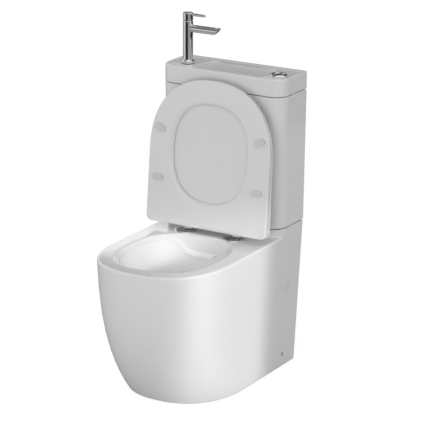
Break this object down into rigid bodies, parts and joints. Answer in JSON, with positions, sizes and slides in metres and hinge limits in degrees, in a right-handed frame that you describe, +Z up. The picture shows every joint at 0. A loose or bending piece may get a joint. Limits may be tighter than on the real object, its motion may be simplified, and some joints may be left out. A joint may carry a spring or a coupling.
{
  "type": "close-coupled toilet",
  "caption": "Floor-standing close-coupled toilet with a hinged seat and lid, and a small wash basin with tap and flush button on the cistern.",
  "frame": {"origin": "on the floor, in the middle of the overall box", "axes": "+Z up, -Y towards the front of the pan, +Y towards the wall, +X to the right seen from the front"},
  "size_m": [0.385, 0.59, 0.983],
  "materials": {
    "ceramic": "gloss",
    "seat_white": "gloss",
    "plastic_white": "gloss",
    "plastic_grey": "matte",
    "rubber": "matte",
    "chrome": "polished",
    "steel": "satin",
    "brass": "satin"
  },
  "bodies": {
    "base": {"pan": "ceramic", "cistern": "ceramic", "basin_top": "ceramic", "basin_pads": "rubber", "cistern_pads": "rubber", "hinge_post_left": "chrome", "hinge_post_right": "chrome", "hinge_rosette_left": "chrome", "hinge_rosette_right": "chrome", "seat_bolts": "steel", "seat_bolt_washers": "rubber", "seat_bolt_nuts": "plastic_white", "tap_body": "chrome", "tap_cartridge": "plastic_grey", "tap_aerator": "plastic_grey", "tap_base_seal": "rubber", "tap_shank": "brass", "tap_shank_nut": "brass", "tap_hose": "plastic_grey", "tap_inlet_fitting": "brass", "basin_waste": "chrome", "basin_waste_nut": "plastic_white", "button_bezel": "chrome", "button_nut": "plastic_white", "button_housing": "plastic_grey", "flush_cable": "plastic_grey", "flush_valve_body": "plastic_white", "valve_back_nut": "plastic_white", "doughnut_seal": "rubber", "coupling_bolts": "steel", "coupling_washers": "rubber", "coupling_wing_nuts": "brass", "fill_valve": "plastic_white", "fill_valve_nut": "plastic_white", "side_caps": "plastic_white", "floor_brackets": "steel", "side_screws": "steel"},
    "seat": {"seat_ring": "seat_white", "seat_buffers": "plastic_grey"},
    "lid": {"lid": "seat_white", "lid_buffers": "plastic_grey", "hinge_dampers": "plastic_grey"},
    "overflow": {"overflow_tube": "plastic_white", "valve_seal": "rubber"},
    "full_button": {"button_full_flush": "chrome"},
    "half_button": {"button_half_flush": "chrome"},
    "float": {"fill_valve_float": "plastic_white"},
    "tap_swivel": {"tap_spindle": "plastic_white", "tap_tilt_pin": "chrome"},
    "tap_handle": {"tap_handle_cap": "chrome", "tap_lever": "chrome"}
  },
  "joints": [
    {"name": "lid_hinge", "type": "hinge", "parent": "base", "child": "lid", "pos_m": [0, 0.101, 0.426], "axis": [1, 0, 0], "range_deg": [0, 96]},
    {"name": "seat_hinge", "type": "hinge", "parent": "base", "child": "seat", "pos_m": [0, 0.101, 0.426], "axis": [1, 0, 0], "range_deg": [0, 96]},
    {"name": "handle_turn", "type": "hinge", "parent": "base", "child": "tap_swivel", "pos_m": [-0.135, 0.21, 0.95], "axis": [0, 0, 1], "range_deg": [-45, 45]},
    {"name": "handle_lift", "type": "hinge", "parent": "tap_swivel", "child": "tap_handle", "pos_m": [-0.135, 0.21, 0.95], "axis": [0, -1, 0], "range_deg": [0, 20]},
    {"name": "full_flush_press", "type": "slide", "parent": "base", "child": "full_button", "axis": [0, 0, -1], "range_m": [0, 0.006], "stiffness_N_per_m": 300},
    {"name": "half_flush_press", "type": "slide", "parent": "base", "child": "half_button", "axis": [0, 0, -1], "range_m": [0, 0.006], "stiffness_N_per_m": 300},
    {"name": "valve_lift", "type": "slide", "parent": "base", "child": "overflow", "axis": [0, 0, 1], "range_m": [0, 0.012]},
    {"name": "float_rise", "type": "slide", "parent": "base", "child": "float", "axis": [0, 0, 1], "range_m": [0, 0.06]}
  ],
  "couplings": [
    {"joint": "seat_hinge", "follows": "lid_hinge", "ratio": 1},
    {"joint": "valve_lift", "follows": "full_flush_press", "ratio": 2}
  ]
}
